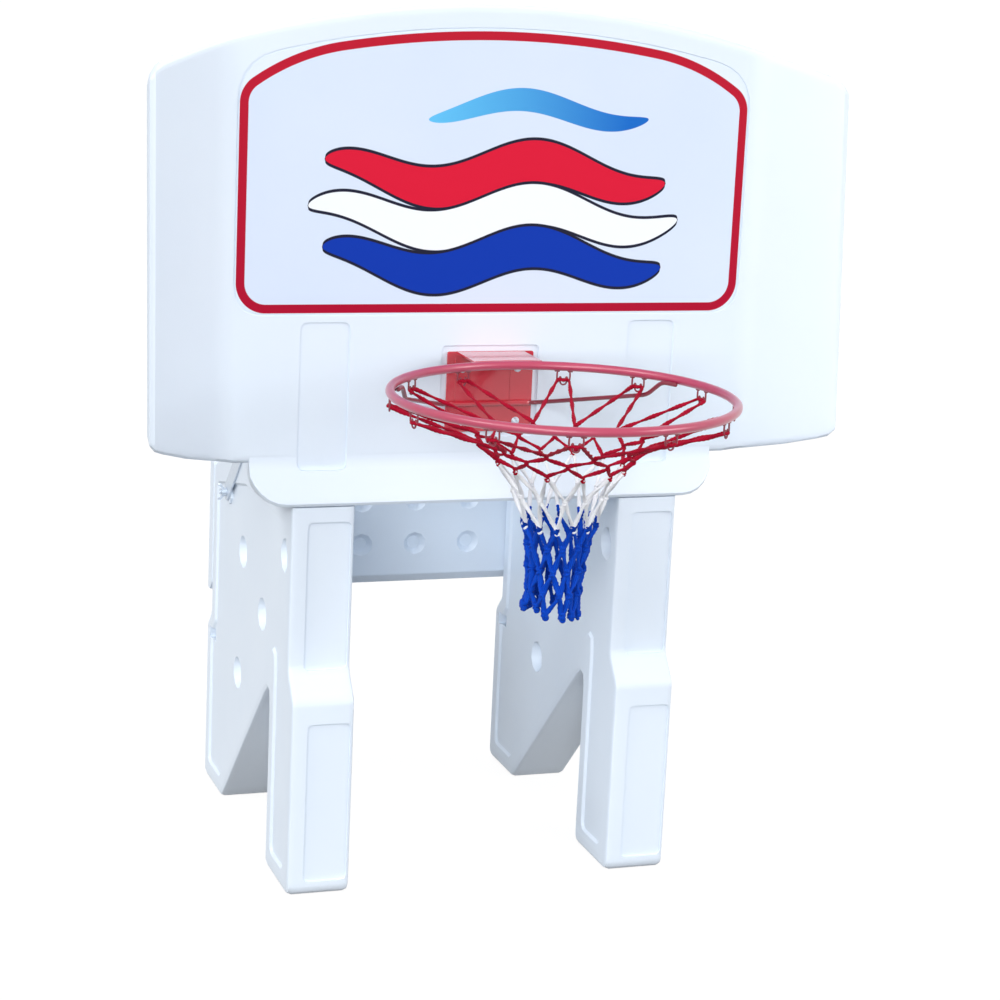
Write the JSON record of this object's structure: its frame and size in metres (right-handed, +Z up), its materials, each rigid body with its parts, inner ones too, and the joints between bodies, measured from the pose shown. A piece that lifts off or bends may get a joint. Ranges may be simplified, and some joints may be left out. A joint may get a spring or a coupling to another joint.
{
  "type": "poolside basketball hoop",
  "caption": "Free-standing poolside basketball hoop: arched ballast side panels, a rear cross panel, a winged backboard with a decal, a braced steel rim and a tapering cord net.",
  "frame": {"origin": "centre of the footprint's bounding box, on the deck that the feet stand on", "axes": "+Z up, -Y towards the pool (the rim's side), +X to the right when the board's face is looked at"},
  "size_m": [1.0576, 1.0864, 1.32],
  "materials": {
    "white_plastic": "satin blow-moulded polyethylene",
    "cap_plastic": "satin moulded plastic",
    "decal_film": "printed vinyl film with a red border",
    "red_enamel": "semi-gloss red enamel",
    "dark_red_enamel": "semi-gloss dark red enamel",
    "red_cord": "braided cord",
    "white_cord": "braided cord",
    "blue_cord": "braided cord",
    "zinc_steel": "zinc plated",
    "gasket_rubber": "matt"
  },
  "bodies": {
    "stand": {"backboard": "white_plastic", "face_decal": "decal_film", "rear_cross_panel": "white_plastic", "side_panel_left": "white_plastic", "side_panel_right": "white_plastic", "tongue_bolt_left_1": "zinc_steel", "tongue_bolt_left_2": "zinc_steel", "tongue_bolt_right_1": "zinc_steel", "tongue_bolt_right_2": "zinc_steel", "cross_bolt_left_1": "zinc_steel", "cross_bolt_left_2": "zinc_steel", "cross_bolt_right_1": "zinc_steel", "cross_bolt_right_2": "zinc_steel", "board_brace_left": "zinc_steel", "board_brace_right": "zinc_steel", "wing_nut_left": "zinc_steel", "wing_nut_right": "zinc_steel", "brace_bolt_left": "zinc_steel", "brace_bolt_right": "zinc_steel", "brace_screw_left": "zinc_steel", "brace_screw_right": "zinc_steel", "rim_bracket": "red_enamel", "bracket_back_plate": "zinc_steel", "bracket_bolt_left_1": "zinc_steel", "bracket_bolt_left_2": "zinc_steel", "bracket_bolt_right_1": "zinc_steel", "bracket_bolt_right_2": "zinc_steel", "bracket_nut_left_1": "zinc_steel", "bracket_nut_left_2": "zinc_steel", "bracket_nut_right_1": "zinc_steel", "bracket_nut_right_2": "zinc_steel", "rim_brace": "dark_red_enamel", "rim_ring": "red_enamel", "net_hook_1": "red_enamel", "net_hook_2": "red_enamel", "net_hook_3": "red_enamel", "net_hook_4": "red_enamel", "net_hook_5": "red_enamel", "net_hook_6": "red_enamel", "net_hook_7": "red_enamel", "net_hook_8": "red_enamel", "net_hook_9": "red_enamel", "net_hook_10": "red_enamel", "net_hook_11": "red_enamel", "net_hook_12": "red_enamel", "net_red": "red_cord", "net_white": "white_cord", "net_blue": "blue_cord", "gasket_left": "gasket_rubber", "gasket_right": "gasket_rubber"},
    "cap_left": {"fill_cap_left": "cap_plastic"},
    "cap_right": {"fill_cap_right": "cap_plastic"}
  },
  "joints": [
    {"name": "left_cap_turn", "type": "hinge", "parent": "stand", "child": "cap_left", "pos_m": [-0.2545, 0.20195, 0.63], "axis": [0, 0, 1], "range_deg": [0, 90]},
    {"name": "right_cap_turn", "type": "hinge", "parent": "stand", "child": "cap_right", "pos_m": [0.2545, 0.20195, 0.63], "axis": [0, 0, 1], "range_deg": [0, 90]}
  ]
}
